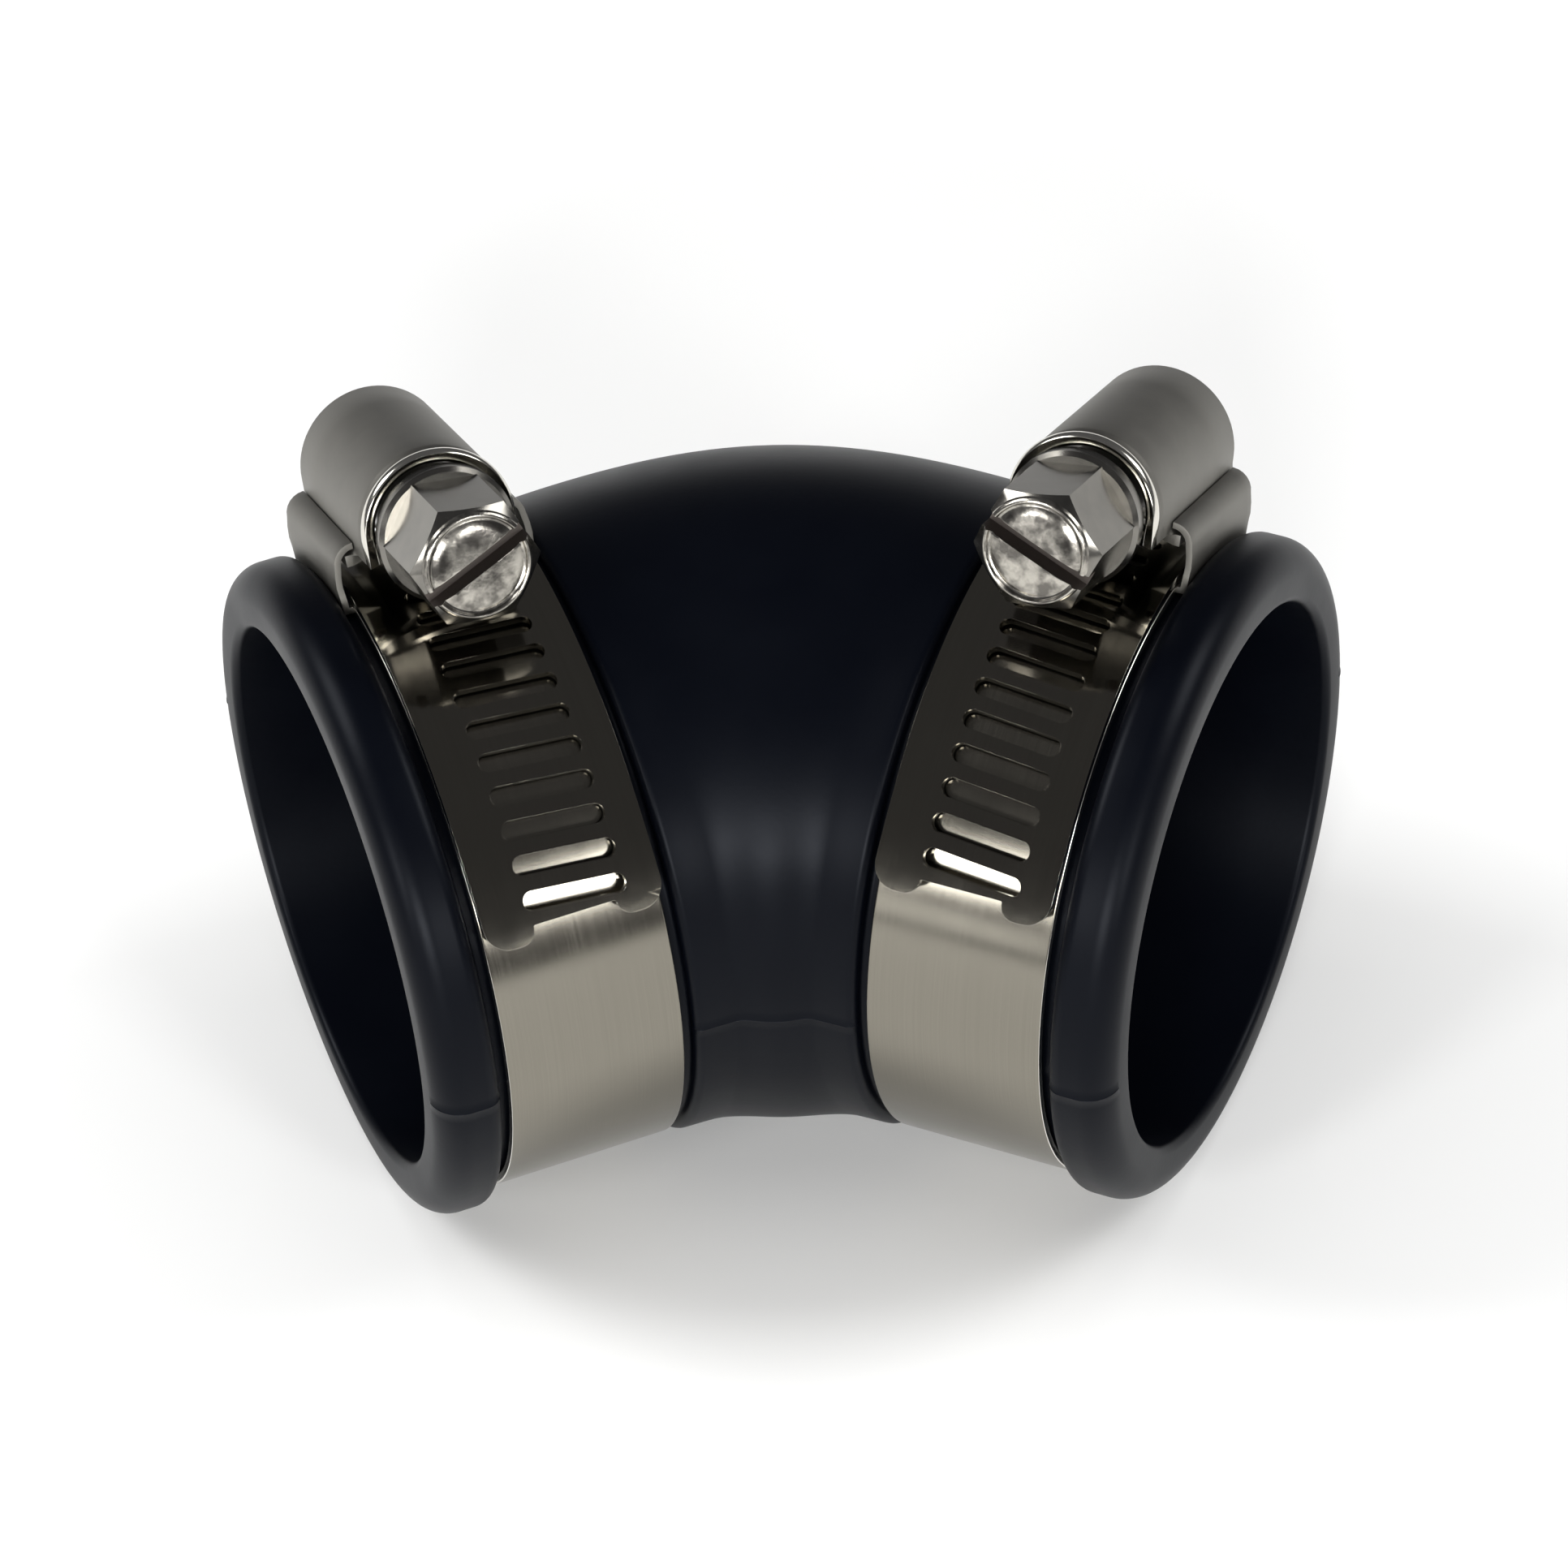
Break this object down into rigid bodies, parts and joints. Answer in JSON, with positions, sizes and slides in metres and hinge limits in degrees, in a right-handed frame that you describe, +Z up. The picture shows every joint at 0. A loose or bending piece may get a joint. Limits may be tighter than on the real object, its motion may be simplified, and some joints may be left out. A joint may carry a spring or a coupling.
{
  "type": "flexible pipe coupling elbow",
  "caption": "Moulded black rubber elbow coupling bent 45 degrees, with a stainless worm-drive band clamp seated behind the rim of each socket.",
  "frame": {"origin": "centre of the bounding box, at the bottom of the rim beads and the bend's underside, on which the coupling lies", "axes": "+Z up, square to the plane of the bend; +X from the left socket towards the right one; both sockets lean towards -Y, and the outside of the bend faces +Y"},
  "size_m": [0.08, 0.0556, 0.0592],
  "materials": {
    "moulded_rubber": "black EPDM or PVC rubber, smooth satin moulded skin",
    "bright_strip": "bright-rolled stainless steel strip, nearly mirror",
    "satin_stamping": "stamped stainless steel sheet, satin",
    "plated_screw": "cold-headed stainless steel screw, polished by tumbling"
  },
  "bodies": {
    "elbow": {"elbow_body": "moulded_rubber"},
    "left_clamp": {"left_clamp_band": "bright_strip", "left_clamp_housing": "satin_stamping", "left_clamp_saddle": "satin_stamping"},
    "left_tail": {"left_clamp_band_tail": "bright_strip"},
    "left_screw": {"left_clamp_screw": "plated_screw"},
    "right_clamp": {"right_clamp_band": "bright_strip", "right_clamp_housing": "satin_stamping", "right_clamp_saddle": "satin_stamping"},
    "right_tail": {"right_clamp_band_tail": "bright_strip"},
    "right_screw": {"right_clamp_screw": "plated_screw"}
  },
  "joints": [
    {"name": "left_clamp_turn", "type": "hinge", "parent": "elbow", "child": "left_clamp", "pos_m": [-0.02079, -0.00209, 0.02375], "axis": [0.9239, 0.3827, 0], "continuous": true},
    {"name": "left_screw_turn", "type": "hinge", "parent": "left_clamp", "child": "left_screw", "pos_m": [-0.02462, 0.00717, 0.0492], "axis": [-0.3561, 0.8596, -0.3665], "range_deg": [-180, 900]},
    {"name": "left_tail_slide", "type": "hinge", "parent": "left_clamp", "child": "left_tail", "pos_m": [-0.02079, -0.00209, 0.02375], "axis": [0.9239, 0.3827, 0], "range_deg": [-3, 14.85]},
    {"name": "right_clamp_turn", "type": "hinge", "parent": "elbow", "child": "right_clamp", "pos_m": [0.02079, -0.00209, 0.02375], "axis": [0.9239, -0.3827, 0], "continuous": true},
    {"name": "right_screw_turn", "type": "hinge", "parent": "right_clamp", "child": "right_screw", "pos_m": [0.02462, 0.00717, 0.0492], "axis": [0.3561, 0.8596, -0.3665], "range_deg": [-180, 900]},
    {"name": "right_tail_slide", "type": "hinge", "parent": "right_clamp", "child": "right_tail", "pos_m": [0.02079, -0.00209, 0.02375], "axis": [0.9239, -0.3827, 0], "range_deg": [-3, 14.85]}
  ],
  "couplings": [
    {"joint": "left_tail_slide", "follows": "left_screw_turn", "ratio": 0.016429},
    {"joint": "right_tail_slide", "follows": "right_screw_turn", "ratio": 0.016429}
  ]
}
